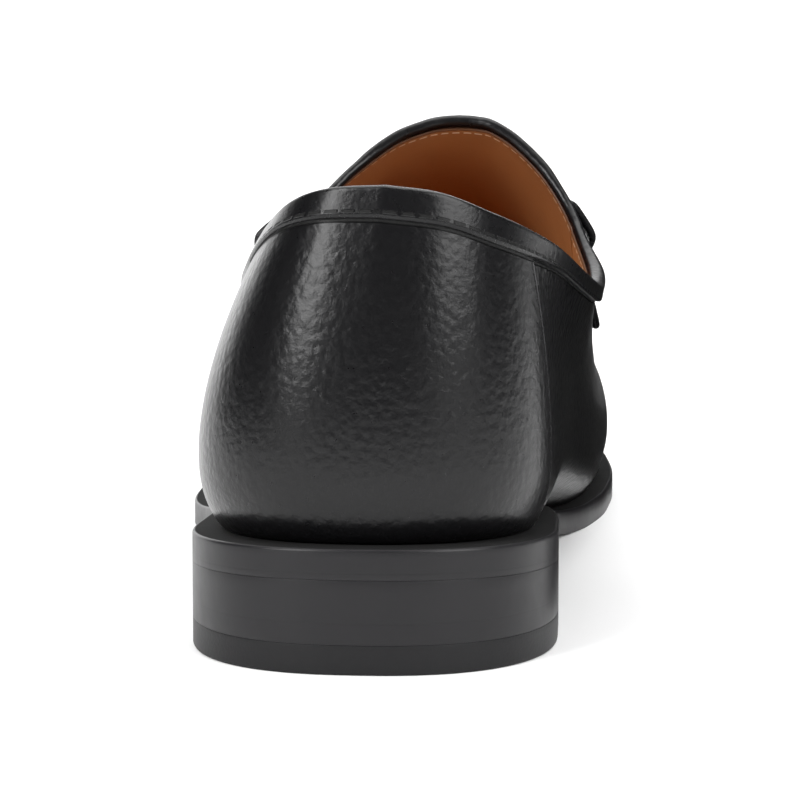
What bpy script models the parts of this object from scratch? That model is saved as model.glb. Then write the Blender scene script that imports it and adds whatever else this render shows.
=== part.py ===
# Bit loafer for the left foot, about size 42. Metres, +Z up, heel at -Y, toe at +Y, inner side at +X.
# Every outline is a function of a few named sizes and of short tables of shares of them.
import math

import bmesh
import bpy
import numpy as np
from mathutils import Matrix, Vector
from mathutils.bvhtree import BVHTree

# Sole and heel
SOLE_LENGTH = 0.300
BALL_WIDTH = 0.0955
HEEL_WIDTH = 0.0660
SOLE_THICKNESS = 0.0054
HEEL_HEIGHT = 0.0164  # floor to the sole's underside at the back
HEEL_SEAT_FALL = 0.79  # how fast the seat falls: share of the heel's height over the shoe's length
HEEL_LENGTH = 0.070
BREAST_HOLLOW = 0.0045
LIFT_THICKNESS = 0.0052
TOE_SPRING = 0.0105
EDGE_ROUNDING = 0.0007
LIFT_TAPER = 0.0003

# Upper
BACK_HEIGHT = 0.0830  # collar above the floor at the back
SIDE_HEIGHT = 0.0610  # collar at its lowest
THROAT_HEIGHT = 0.0936
TOE_HEIGHT = 0.0450
THROAT_AT = 0.1180  # from the heel's back
COLLAR_AT = 0.0085
COLLAR_WIDTH = 0.0718
UPPER_INSET = 0.0022  # the widest line of the upper inside the sole's ends
FEATHER_TUCK = 0.0042
WALL = 0.0020
COLLAR_BAND = 0.0062
BAND_STEP = 0.0006
COUNTER_STEP = 0.0007
SEAM_RIDGE = 0.0012
SEAM_WIDTH = 0.0034

# Insole, strap and bit
INSOLE_THICKNESS = 0.0024
STRAP_THICKNESS = 0.0018
STRAP_WIDTH = 0.0150
STRAP_END_WIDTH = 0.0115
STRAP_AT = 0.0300  # centre of the strap in front of the throat
BIT_WIRE = 0.0026
BIT_RING = 0.0160  # across the middle of the ring's wire
BIT_LIFT = 0.0016
BIT_BEAD = 0.0009
BEAD_PLACES = (0.09, 0.86)  # of the bar's beads, from its middle to its end
BEAD_LENGTH = 0.06
CLIMB_PLACES = (-2.8, -1.2, 1.7, 3.6)  # start, top, top's end and end of the climb, in wires from the ring
BAR_WAIST = 0.85  # share of the wire's thickness in the middle of the bar
RING_FROM_END = 0.0210
STRAP_END_HEIGHT = 0.0465
CLEARANCE = 0.0003
STRAP_GAP = 0.0005  # under the strap, which bridges the flats of the upper
STRAP_TIP = 0.6  # width of the strap's ends as a share of its end width
TIP_LENGTH = 0.25  # length of the rounded end as a share of the end width
TINY = 1e-6  # keeps a division at the shoe's two tips from 0

# Sole outline: share of the length, half width as shares of heel and ball width, centre as a share of ball
# width
SOLE_ROWS = np.array([
    (0.000, 0.500, 0.000, 0.000),
    (0.125, 0.500, 0.000, 0.000),
    (0.200, 0.496, 0.000, -0.004),
    (0.300, 0.330, 0.103, -0.036),
    (0.400, 0.170, 0.236, -0.072),
    (0.480, 0.060, 0.362, -0.089),
    (0.560, 0.000, 0.472, -0.086),
    (0.620, 0.000, 0.496, -0.075),
    (0.680, 0.000, 0.500, -0.064),
    (0.800, 0.000, 0.500, -0.037),
    (0.900, 0.000, 0.500, -0.014),
    (1.000, 0.000, 0.500, 0.002),
])

# Underside of the sole: share of the length, share of the heel height, share of the toe spring
UNDERSIDE_ROWS = np.array([
    (0.00, 1.00, 0.00),
    (0.12, 0.91, 0.00),
    (0.24, 0.81, 0.00),
    (0.31, 0.66, 0.00),
    (0.38, 0.43, 0.00),
    (0.45, 0.19, 0.00),
    (0.51, 0.04, 0.00),
    (0.55, 0.00, 0.00),
    (0.65, 0.00, 0.00),
    (0.74, 0.00, 0.00),
    (0.80, 0.00, 0.06),
    (0.87, 0.00, 0.27),
    (0.94, 0.00, 0.61),
    (1.00, 0.00, 1.00),
])

# Widest line of the upper: share of its length, half width as shares of heel and ball width, centre as a
# share of ball width, height above the sole and centre of the crest as shares of ball width, and how square
# the section above it is on the inner and on the outer side
WIDE_ROWS = np.array([
    (0.000, 0.480, 0.000, 0.000, 0.150, 0.045, 2.4, 2.4),
    (0.125, 0.480, 0.000, 0.002, 0.150, 0.050, 2.4, 2.4),
    (0.200, 0.420, 0.056, 0.000, 0.150, 0.060, 2.6, 2.2),
    (0.300, 0.300, 0.160, -0.006, 0.150, 0.080, 2.8, 1.9),
    (0.400, 0.160, 0.290, -0.016, 0.150, 0.102, 2.8, 1.9),
    (0.480, 0.060, 0.396, -0.036, 0.150, 0.088, 2.7, 2.2),
    (0.560, 0.000, 0.465, -0.052, 0.145, 0.060, 2.5, 2.4),
    (0.620, 0.000, 0.482, -0.062, 0.140, 0.036, 2.4, 2.4),
    (0.680, 0.000, 0.484, -0.059, 0.135, 0.014, 2.4, 2.4),
    (0.800, 0.000, 0.484, -0.035, 0.125, -0.004, 2.4, 2.4),
    (0.900, 0.000, 0.484, -0.013, 0.112, -0.002, 2.4, 2.4),
    (1.000, 0.000, 0.484, 0.002, 0.095, 0.002, 2.4, 2.4),
])

# Crest of the vamp: share of the way from throat to toe, share of the fall from throat height to toe height
CREST_ROWS = np.array([
    (-0.60, 1.24),
    (-0.30, 1.16),
    (-0.12, 1.08),
    (0.000, 1.00),
    (0.094, 0.81),
    (0.210, 0.595),
    (0.340, 0.395),
    (0.470, 0.250),
    (0.600, 0.145),
    (0.740, 0.065),
    (0.860, 0.010),
    (1.000, 0.000),
])

# Topline, from the back (0) to the throat (1) along the ribs: share of the opening's length, rise of the
# inner and of the outer edge above the lowest place, inner and outer edge as shares of the collar's width,
# and the place of the apron seam on the rib. A rise of 1 is the height at the back or, in front of the lowest
# place, at the throat.
TOPLINE_ROWS = np.array([
    (0.00, 0.000, 1.000, 1.000, 0.056, 0.056, 0.50),
    (0.06, 0.012, 0.940, 0.975, 0.185, -0.070, 0.50),
    (0.12, 0.050, 0.795, 0.870, 0.290, -0.155, 0.50),
    (0.18, 0.118, 0.655, 0.680, 0.372, -0.222, 0.50),
    (0.24, 0.232, 0.480, 0.450, 0.448, -0.284, 0.50),
    (0.30, 0.408, 0.215, 0.260, 0.515, -0.338, 0.50),
    (0.36, 0.600, 0.035, 0.100, 0.550, -0.375, 0.51),
    (0.42, 0.750, 0.090, 0.130, 0.548, -0.352, 0.57),
    (0.48, 0.850, 0.235, 0.355, 0.520, -0.288, 0.66),
    (0.56, 0.920, 0.436, 0.610, 0.478, -0.196, 0.63),
    (0.64, 0.957, 0.666, 0.761, 0.407, -0.123, 0.52),
    (0.72, 0.979, 0.859, 0.896, 0.318, -0.038, 0.43),
    (0.80, 0.990, 0.960, 0.965, 0.248, 0.040, 0.37),
    (0.90, 0.998, 0.992, 0.992, 0.192, 0.092, 0.335),
    (1.00, 1.000, 1.000, 1.000, 0.142, 0.142, 0.32),
])

HEEL_ROUND = 0.125  # share of the length that the round heel takes
TOE_ROUND = 0.670  # share of the length where the round toe starts
HEEL_POWER = 2.4
TOE_POWER = 2.15
CREST_ROUND = 0.62  # share of the vamp where the crest starts to fall to the tip
CREST_POWER = 3.0
SIDE_BOW = 1.7  # exponent of the lean of the collar's side: 1 is straight, more is rounder
TOP_DRAW = 2.5  # exponent of how late a rib leaves the vamp's dome for the topline
DOME_UP = 1.3  # the dome's upward exponent, to which a quarter of its squareness is added
DOME_PLAN = 1.1  # exponent of how a dome rib's points crowd towards its widest line
DOME_RIBS = (0.40, 0.62)  # between these the leaning side turns into the vamp's dome
THROAT_RIBS = (0.30, 0.42)  # here the topline's rise goes over from the back's height to the throat's
BAND_RIBS = (0.40, 0.50)  # between these the collar band's step fades out
SKIRT_BULGE = 2.6  # exponent of the tuck under the widest line
FEATHER_ROUND = 0.3  # share by which the tuck shrinks with the width at the two tips
SKIRT_STEPS = 60
ROOF_STEPS = 260

# Ribs: share of all ribs that crowd to the round heel and to the round toe
CROWD_HEEL = 0.24
CROWD_TOE = 0.28
HEEL_RIBS = 7
SIDE_RIBS = 11
TOE_RIBS = 9
COUNTER_RIBS = (0.185, 0.220)  # inner and outer front edge of the counter
COUNTER_EDGE = 0.006
STRAP_STEPS = 56
STRAP_ACROSS = 7
RING_STEPS = 28
RING_SIDES = 8
BAR_STEPS = 41
FINE_RIBS = 400
HEEL_SIDE_RIBS = 13
BREAST_STEPS = 9
SOLE_HEEL_RIBS = 8
SOLE_SIDE_RIBS = 12
SOLE_TOE_RIBS = 10
SEAM_RIBS = (0.600, 0.660)  # between these the apron seam rises to its full height


def curve(at, rows, column):
    """A smooth curve through one column of a table, read at the places in at."""
    places = rows[:, 0]
    values = rows[:, column]
    slopes = np.gradient(values, places)
    at = np.clip(at, places[0], places[-1])
    k = np.clip(np.searchsorted(places, at, side="right") - 1, 0, len(places) - 2)
    step = places[k + 1] - places[k]
    t = (at - places[k]) / step
    start = values[k] * (1 + 2 * t) * (1 - t) ** 2 + slopes[k] * step * t * (1 - t) ** 2
    return start + values[k + 1] * t * t * (3 - 2 * t) - slopes[k + 1] * step * t * t * (1 - t)


def round_end(share, start, end, power):
    """1 up to start, then falling like a quarter of an ellipse to 0 at end."""
    past = np.clip((share - start) / (end - start), 0, 1)
    return (1 - past**power) ** (1 / power)


def smooth_step(value, low, high):
    t = np.clip((value - low) / (high - low), 0, 1)
    return t * t * (3 - 2 * t)


def along(rib):
    """Share of the length at each rib's foot: ribs crowd quadratically into the round heel and toe."""
    middle = 1 - CROWD_HEEL - CROWD_TOE
    pace = 1 / (CROWD_HEEL / 2 + middle + CROWD_TOE / 2)
    heel = pace * np.minimum(rib, CROWD_HEEL) ** 2 / (2 * CROWD_HEEL)
    side = pace * np.clip(rib - CROWD_HEEL, 0, middle)
    left = np.minimum(1 - rib, CROWD_TOE)
    toe = pace * (CROWD_TOE / 2 - left**2 / (2 * CROWD_TOE))
    return heel + side + toe


def spaced_ribs(heel, side, toe):
    """Ribs from back to front with these numbers of steps in the heel, the side and the toe."""
    return np.concatenate([
        np.linspace(0, CROWD_HEEL, heel + 1)[:-1],
        np.linspace(CROWD_HEEL, 1 - CROWD_TOE, side + 1)[:-1],
        np.linspace(1 - CROWD_TOE, 1, toe + 1),
    ])


def half_width(share, rows):
    ends = round_end(share, HEEL_ROUND, 0, HEEL_POWER) * round_end(share, TOE_ROUND, 1, TOE_POWER)
    return ends * (HEEL_WIDTH * curve(share, rows, 1) + BALL_WIDTH * curve(share, rows, 2))


def underside(y):
    """Height of the sole's underside."""
    share = np.asarray(y) / SOLE_LENGTH
    low = HEEL_HEIGHT * curve(share, UNDERSIDE_ROWS, 1) + TOE_SPRING * curve(share, UNDERSIDE_ROWS, 2)
    seat = HEEL_HEIGHT * (1 - HEEL_SEAT_FALL * share)
    return np.where(y <= HEEL_LENGTH, seat, np.maximum(low, 0))


def sole_side(rib, side):
    """Points of the sole's outline on one side, (x, y) for each rib."""
    share = along(rib)
    x = BALL_WIDTH * curve(share, SOLE_ROWS, 3) + side * half_width(share, SOLE_ROWS)
    return np.stack([x, SOLE_LENGTH * share], axis=1)


def loop_of(rib, side_points):
    """One closed loop from the inner and the outer side, which share their two end points."""
    inner = side_points(rib, 1)
    outer = side_points(rib, -1)
    return np.concatenate([inner, outer[-2:0:-1]])


def inset(loop, amount):
    """The loop moved inwards along its own normals."""
    tangent = np.roll(loop, -1, axis=0) - np.roll(loop, 1, axis=0)
    tangent /= np.linalg.norm(tangent, axis=1, keepdims=True)
    inward = np.stack([-tangent[:, 1], tangent[:, 0]], axis=1)
    return loop + inward * amount


def material(name, colour, roughness, metallic=0.0):
    made = bpy.data.materials.new(name)
    made.use_nodes = True
    shader = made.node_tree.nodes["Principled BSDF"]
    shader.inputs["Base Color"].default_value = (*colour, 1)
    shader.inputs["Roughness"].default_value = roughness
    shader.inputs["Metallic"].default_value = metallic
    return made


def new_piece(name, points, faces, finish):
    """A named object from points and faces, shaded smooth."""
    mesh = bpy.data.meshes.new(name)
    mesh.from_pydata(np.asarray(points).tolist(), [], faces)
    bm = bmesh.new()
    bm.from_mesh(mesh)
    bmesh.ops.recalc_face_normals(bm, faces=bm.faces)
    bm.to_mesh(mesh)
    bm.free()
    mesh.shade_smooth()
    mesh.set_sharp_from_angle(angle=math.radians(35))
    mesh.materials.append(finish)
    piece = bpy.data.objects.new(name, mesh)
    bpy.context.scene.collection.objects.link(piece)
    return piece


def bands(count, levels):
    """Faces between closed rings of count points, one ring after the other."""
    faces = []
    for level in range(levels - 1):
        for k in range(count):
            a = level * count + k
            b = level * count + (k + 1) % count
            faces.append((a, b, b + count, a + count))
    return faces


def stacked(rings):
    """A solid from loop_of loops: bands between them, and strips across the first and the last."""
    count = len(rings[0])
    faces = bands(count, len(rings))
    for first in (0, (len(rings) - 1) * count):
        for quad in across_pairs(count):
            faces.append(tuple(dict.fromkeys(first + v for v in quad)))
    return np.concatenate(rings), faces


def across_pairs(count):
    """Strips across a loop_of loop, each from two neighbours on the inner side to their partners outside."""
    half = count // 2
    return [(k, k + 1, (count - k - 1) % count, (count - k) % count) for k in range(half)]


def make_outsole(ribs, finish):
    """Sole of one thickness: its edge is rounded over above and below."""
    loop = loop_of(ribs, sole_side)
    rings = []
    for amount, height in (
        (EDGE_ROUNDING, 0),
        (0, EDGE_ROUNDING),
        (0, SOLE_THICKNESS - EDGE_ROUNDING),
        (EDGE_ROUNDING, SOLE_THICKNESS),
    ):
        ring = inset(loop, amount)
        rings.append(np.column_stack([ring, underside(ring[:, 1]) + height]))
    return new_piece("outsole", *stacked(rings), finish)


def heel_outline(amount):
    """The heel's plan: the sole's outline as far as the breast, which is hollowed in an arc."""
    fine = np.linspace(0, 1, FINE_RIBS)
    rib = np.linspace(0, np.interp(HEEL_LENGTH / SOLE_LENGTH, along(fine), fine), HEEL_SIDE_RIBS)
    inner = sole_side(rib, 1)
    outer = sole_side(rib, -1)
    across = np.linspace(0, 1, BREAST_STEPS)[1:-1]
    hollow = BREAST_HOLLOW * 4 * across * (1 - across)
    breast = np.column_stack([inner[-1, 0] + (outer[-1, 0] - inner[-1, 0]) * across, HEEL_LENGTH - hollow])
    return inset(np.concatenate([inner, breast, outer[:0:-1]]), amount)


def floor(y):
    return np.zeros_like(y)


def lift_top(y):
    return np.full_like(y, LIFT_THICKNESS)


def stack_bottom(y):
    return lift_top(y) + CLEARANCE


def stack_top(y):
    return underside(y) - CLEARANCE


def make_heel_layer(name, low, high, taper, finish):
    """A layer of the heel between two heights, with its edges rounded over."""
    soft = EDGE_ROUNDING / 2
    rings = []
    edge = ((soft + taper, low, 0), (taper, low, soft), (0, high, -soft), (soft, high, 0))
    for amount, height, shift in edge:
        outline = heel_outline(amount)
        rings.append(np.column_stack([outline, height(outline[:, 1]) + shift]))
    count = len(rings[0])
    last = (len(rings) - 1) * count
    caps = [tuple(range(count))[::-1], tuple(range(last, last + count))]
    return new_piece(name, np.concatenate(rings), bands(count, len(rings)) + caps, finish)


def wide_length():
    return SOLE_LENGTH - 2 * UPPER_INSET


def wide_share(y):
    return (y - UPPER_INSET) / wide_length()


def wide_edge(y, side):
    """x of the upper's widest line."""
    share = wide_share(y)
    return BALL_WIDTH * curve(share, WIDE_ROWS, 3) + side * half_width(share, WIDE_ROWS)


def wide_height(y):
    return sole_top(y) + BALL_WIDTH * curve(wide_share(y), WIDE_ROWS, 4)


def sole_top(y):
    return underside(y) + SOLE_THICKNESS


def crest(y):
    """Height of the vamp's ridge line, falling steeply at the toe."""
    way = (y - THROAT_AT) / (SOLE_LENGTH - UPPER_INSET - THROAT_AT)
    ridge = TOE_HEIGHT + (THROAT_HEIGHT - TOE_HEIGHT) * curve(way, CREST_ROWS, 1)
    low = wide_height(y)
    return low + (ridge - low) * round_end(way, CREST_ROUND, 1, CREST_POWER)


def dome(x, y):
    """Height of the vamp over a point of the plan: a dome from the widest line up to the crest."""
    share = wide_share(y)
    middle = BALL_WIDTH * curve(share, WIDE_ROWS, 5)
    inner = x > middle
    reach = np.where(inner, wide_edge(y, 1), wide_edge(y, -1)) - middle
    square = np.where(inner, curve(share, WIDE_ROWS, 6), curve(share, WIDE_ROWS, 7))
    out = np.clip((x - middle) / np.where(np.abs(reach) < TINY, TINY, reach), 0, 1)
    low = wide_height(y)
    return low + (crest(y) - low) * (1 - out**square) ** (1 / (DOME_UP + square / 4))


def topline(rib, side):
    """The collar and throat edge at each rib, (x, y, z)."""
    y = COLLAR_AT + (THROAT_AT - COLLAR_AT) * curve(rib, TOPLINE_ROWS, 1)
    x = COLLAR_WIDTH * curve(rib, TOPLINE_ROWS, 4 if side > 0 else 5)
    full = BACK_HEIGHT + (THROAT_HEIGHT - BACK_HEIGHT) * smooth_step(rib, *THROAT_RIBS)
    z = SIDE_HEIGHT + (full - SIDE_HEIGHT) * curve(rib, TOPLINE_ROWS, 2 if side > 0 else 3)
    return np.stack([x, y, z], axis=1)


def feather_edge(rib, side):
    """Where each rib starts: a little inside the widest line and the sole's edge, on the sole."""
    share = along(rib)
    y = UPPER_INSET + FEATHER_TUCK + (wide_length() - 2 * FEATHER_TUCK) * share
    middle = 0.5 * (sole_side(rib, 1)[:, 0] + sole_side(rib, -1)[:, 0])
    room = np.abs(sole_side(rib, side)[:, 0] - middle)
    wide = np.abs(wide_edge(UPPER_INSET + wide_length() * share, side) - middle)
    tuck = FEATHER_TUCK * room / (room.max() * FEATHER_ROUND + room * (1 - FEATHER_ROUND))
    x = middle + side * np.maximum(np.minimum(wide, room) - tuck, 0)
    return np.stack([x, y, sole_top(y) + CLEARANCE], axis=1)


def rib_curves(rib, side):
    """Each rib as a fine curve from feather edge to topline; its widest point is number SKIRT_STEPS - 1."""
    y = UPPER_INSET + wide_length() * along(rib)
    wide = np.stack([wide_edge(y, side), y, wide_height(y)], axis=1)
    foot = feather_edge(rib, side)
    top = topline(rib, side)

    t = np.linspace(0, 1, SKIRT_STEPS)[:-1, None]
    bulge = 1 - (1 - t) ** SKIRT_BULGE
    skirt = foot[:, None] + (wide - foot)[:, None] * np.concatenate([bulge, bulge, t], axis=1)

    t = np.linspace(0, 1, ROOF_STEPS)[None, :]
    front = smooth_step(rib, *DOME_RIBS)[:, None]
    plan = (1 - front) * t**SIDE_BOW + front * (1 - np.cos(t * math.pi / 2) ** DOME_PLAN)
    lift = (1 - front) * t + front * np.sin(t * math.pi / 2)
    xy = wide[:, None, :2] + (top - wide)[:, None, :2] * plan[:, :, None]
    z_side = wide[:, 2:3] + (top - wide)[:, 2:3] * lift
    z = z_side + front * (dome(xy[:, :, 0], xy[:, :, 1]) - z_side)
    z += (top[:, 2:3] - z[:, -1:]) * plan**TOP_DRAW
    roof = np.concatenate([xy, z[:, :, None]], axis=2)
    return np.concatenate([skirt, roof], axis=1)


# Rows of the upper's grid, as shares: of the skirt, from the widest line to the seam, and from there to the
# band
SKIRT_ROWS = np.array([0, 0.3, 0.65, 1.0])
SIDE_ROWS = np.array([0.13, 0.28, 0.47, 0.72])
PLUG_ROWS = np.array([0.25, 0.5, 0.76])
BAND_MIDDLE = 0.55  # share of the collar band's height
ROW_SEAM = len(SKIRT_ROWS) + len(SIDE_ROWS) + 1
ROW_BAND = ROW_SEAM + 1 + len(PLUG_ROWS) + 1


def rows_of(rib, side):
    """The ribs cut into the same rows: skirt, side or vamp, apron seam, top, and collar band."""
    fine = rib_curves(rib, side)
    steps = np.linalg.norm(np.diff(fine, axis=1), axis=2)
    length = np.concatenate([np.zeros((len(rib), 1)), np.cumsum(steps, axis=1)], axis=1)
    seam_share = curve(rib, TOPLINE_ROWS, 6)
    grid = []
    for k in range(len(rib)):
        wide = length[k, SKIRT_STEPS - 1]
        total = length[k, -1]
        band = total - COLLAR_BAND
        seam = wide + seam_share[k] * (total - wide)
        low = seam - SEAM_WIDTH / 2
        high = seam + SEAM_WIDTH / 2
        places = np.concatenate([
            wide * SKIRT_ROWS,
            wide + (low - wide) * SIDE_ROWS,
            [low, seam, high],
            high + (band - high) * PLUG_ROWS,
            [band, band + BAND_STEP, band + BAND_MIDDLE * COLLAR_BAND, total],
        ])
        grid.append(np.stack([np.interp(places, length[k], fine[k, :, axis]) for axis in range(3)], axis=1))
    return np.array(grid)


def upper_grid():
    """The ribs all round as a grid of ribs by rows, each rib's share, and where its side's counter ends."""
    ribs = np.unique(np.concatenate([
        spaced_ribs(HEEL_RIBS, SIDE_RIBS, TOE_RIBS),
        *([rib - COUNTER_EDGE / 2, rib + COUNTER_EDGE / 2] for rib in COUNTER_RIBS),
    ]))
    inner = rows_of(ribs, 1)
    outer = rows_of(ribs, -1)
    ends = np.concatenate([np.full(len(ribs), COUNTER_RIBS[0]), np.full(len(ribs) - 2, COUNTER_RIBS[1])])
    return np.concatenate([inner, outer[-2:0:-1]]), np.concatenate([ribs, ribs[-2:0:-1]]), ends


def grid_normals(grid):
    """Outward unit normals of the closed grid."""
    round_it = np.roll(grid, -1, axis=0) - np.roll(grid, 1, axis=0)
    up_it = np.gradient(grid, axis=1)
    normal = np.cross(round_it, up_it)
    return normal / np.linalg.norm(normal, axis=2, keepdims=True)


def upper_shells():
    """The outside grid with its steps and seam, and the inside grid one wall further in."""
    grid, ribs, counter_end = upper_grid()
    normal = grid_normals(grid)
    band = BAND_STEP * (1 - smooth_step(ribs, *BAND_RIBS))
    counter = COUNTER_STEP * (ribs < counter_end)
    rise = np.repeat(counter[:, None], grid.shape[1], axis=1)
    rise[:, ROW_BAND + 1:] += band[:, None]
    rise[:, ROW_SEAM] += SEAM_RIDGE * smooth_step(ribs, *SEAM_RIBS)
    outside = grid + normal * rise[:, :, None]
    inside = grid - normal * WALL
    flat = normal[:, 0, :2] / np.linalg.norm(normal[:, 0, :2], axis=1, keepdims=True)
    for shell, amount in ((outside, rise[:, :1]), (inside, -WALL)):
        shell[:, 0, :2] = grid[:, 0, :2] + flat * amount
        shell[:, 0, 2] = sole_top(shell[:, 0, 1]) + CLEARANCE
    return outside, inside


def make_upper(finish):
    """The outside and the inside grid, joined by rims at the feather edge and at the topline."""
    outside, inside = upper_shells()
    around, rows = outside.shape[:2]
    points = np.concatenate([outside.reshape(-1, 3), inside.reshape(-1, 3)])
    second = around * rows
    faces = []
    for k in range(around):
        n = (k + 1) % around
        for r in range(rows - 1):
            a, b, c, d = k * rows + r, n * rows + r, n * rows + r + 1, k * rows + r + 1
            faces.append((a, b, c, d))
            faces.append((second + d, second + c, second + b, second + a))
        faces.append((k * rows, second + k * rows, second + n * rows, n * rows))
        top = rows - 1
        faces.append((k * rows + top, n * rows + top, second + n * rows + top, second + k * rows + top))
    return new_piece("upper", points, faces, finish)


def make_insole(finish):
    """Sock board inside the upper's wall, following the sole."""
    _, inside = upper_shells()
    low = inset(inside[:, 0, :2], 2 * CLEARANCE)
    rings = [
        np.column_stack([low, sole_top(low[:, 1]) + CLEARANCE]),
        np.column_stack([low, sole_top(low[:, 1]) + CLEARANCE + INSOLE_THICKNESS]),
    ]
    return new_piece("insole", *stacked(rings), finish)


def outside_of(upper):
    """A function that gives the point of the upper's outside at any y and at an angle round its middle."""
    bm = bmesh.new()
    bm.from_mesh(upper.data)
    tree = BVHTree.FromBMesh(bm)
    bm.free()

    def point(y, angle):
        middle_x = float(BALL_WIDTH * curve(wide_share(y), WIDE_ROWS, 5))
        middle = Vector((middle_x, y, STRAP_END_HEIGHT - BALL_WIDTH / 8))
        way = Vector((math.cos(angle), 0, math.sin(angle)))
        hit = tree.ray_cast(middle + way * BALL_WIDTH, -way)
        return np.array(hit[0])

    return point


def strap_line(point):
    """Angles across the vamp at even steps of length, between the strap's two ends, and the lengths."""
    angles = np.linspace(math.radians(178), math.radians(2), 700)
    y = THROAT_AT + STRAP_AT
    line = np.array([point(y, angle) for angle in angles])
    above = np.nonzero(line[:, 2] >= STRAP_END_HEIGHT)[0]
    line = line[above[0]:above[-1] + 1]
    angles = angles[above[0]:above[-1] + 1]
    length = np.concatenate([[0], np.cumsum(np.linalg.norm(np.diff(line, axis=0), axis=1))])
    return length, angles


def strap_base(point, length, angles, places, width):
    """Grid of points on the upper under the strap, and its smooth outward normals."""
    spread = np.linspace(-0.5, 0.5, STRAP_ACROSS)
    at = np.interp(places, length, angles)
    y = THROAT_AT + STRAP_AT
    grid = np.array([[point(y + share * w, angle) for share in spread] for angle, w in zip(at, width)])
    normal = np.cross(np.gradient(grid, axis=0), np.gradient(grid, axis=1))
    normal /= np.linalg.norm(normal, axis=2, keepdims=True)
    if normal[len(normal) // 2, 0, 2] < 0:
        normal = -normal
    return grid, normal


def ring_places(total):
    """Where each ring's outer and inner wire cross the strap, from its outer end."""
    ring = np.array([RING_FROM_END, RING_FROM_END + BIT_RING])
    return [ring, total - ring]


def strap_rise(places, total):
    """Height of the strap's underside over the upper: it climbs over the outer wire of each ring."""
    climb = BIT_WIRE + BIT_LIFT + 5 * CLEARANCE
    rise = np.zeros(len(places))
    for end in (places, total - places):
        start, full, leave, low = RING_FROM_END + BIT_WIRE * np.array(CLIMB_PLACES)
        up = smooth_step(end, start, full)
        down = smooth_step(end, leave, low)
        rise += climb * up * (1 - down)
    return rise + STRAP_GAP


def make_strap(point, finish):
    length, angles = strap_line(point)
    total = length[-1]
    places = np.linspace(0, total, STRAP_STEPS)
    end = np.minimum(places, total - places)
    tip = STRAP_TIP + (1 - STRAP_TIP) * np.sqrt(np.clip(end / (TIP_LENGTH * STRAP_END_WIDTH), 0, 1))
    wide_part = smooth_step(end, RING_FROM_END + BIT_RING - BIT_WIRE, RING_FROM_END + BIT_RING + 2 * BIT_WIRE)
    width = (STRAP_END_WIDTH + (STRAP_WIDTH - STRAP_END_WIDTH) * wide_part) * tip
    base, normal = strap_base(point, length, angles, places, width)
    rise = strap_rise(places, total)[:, None, None]
    low = base + normal * rise
    high = base + normal * (rise + STRAP_THICKNESS)
    count = STRAP_ACROSS
    points = np.concatenate([low.reshape(-1, 3), high.reshape(-1, 3)])
    second = STRAP_STEPS * count
    faces = []
    for k in range(STRAP_STEPS - 1):
        for r in range(count - 1):
            a, b = k * count + r, (k + 1) * count + r
            faces.append((a, a + 1, b + 1, b))
            faces.append((second + a, second + b, second + b + 1, second + a + 1))
        for r in (0, count - 1):
            a, b = k * count + r, (k + 1) * count + r
            faces.append((a, b, second + b, second + a))
    for k in (0, STRAP_STEPS - 1):
        for r in range(count - 1):
            a = k * count + r
            faces.append((a, second + a, second + a + 1, a + 1))
    return new_piece("strap", points, faces, finish)


def tube(centres, radii, side_way, sides):
    """A closed tube along a curve: circles square to it, with side_way as one of their axes."""
    way = np.gradient(centres, axis=0)
    way /= np.linalg.norm(way, axis=1, keepdims=True)
    first = side_way - way * (way @ side_way)[:, None]
    first /= np.linalg.norm(first, axis=1, keepdims=True)
    second = np.cross(way, first)
    turn = np.linspace(0, 2 * math.pi, sides, endpoint=False)
    circles = first[:, None] * np.cos(turn)[None, :, None] + second[:, None] * np.sin(turn)[None, :, None]
    points = (centres[:, None] + circles * radii[:, None, None]).reshape(-1, 3)
    faces = [tuple(range(sides)), tuple(range(len(points) - sides, len(points)))]
    for k in range(len(centres) - 1):
        for r in range(sides):
            n = (r + 1) % sides
            faces.append((k * sides + r, k * sides + n, (k + 1) * sides + n, (k + 1) * sides + r))
    return points, faces


def ring_mesh(outer, inner, side_way):
    """A round wire ring whose diameter runs from outer to inner."""
    middle = (outer + inner) / 2
    first = (inner - outer) / 2
    radius = np.linalg.norm(first)
    first /= radius
    second = side_way - first * (first @ side_way)
    second /= np.linalg.norm(second)
    third = np.cross(first, second)
    around = np.linspace(0, 2 * math.pi, RING_STEPS, endpoint=False)[:, None, None]
    turn = np.linspace(0, 2 * math.pi, RING_SIDES, endpoint=False)[None, :, None]
    out = first * np.cos(around) + second * np.sin(around)
    points = middle + out * (radius + BIT_WIRE / 2 * np.cos(turn)) + third * (BIT_WIRE / 2 * np.sin(turn))
    faces = []
    for k in range(RING_STEPS):
        n = (k + 1) % RING_STEPS
        for r in range(RING_SIDES):
            m = (r + 1) % RING_SIDES
            faces.append((k * RING_SIDES + r, n * RING_SIDES + r, n * RING_SIDES + m, k * RING_SIDES + m))
    return points.reshape(-1, 3), faces


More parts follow.
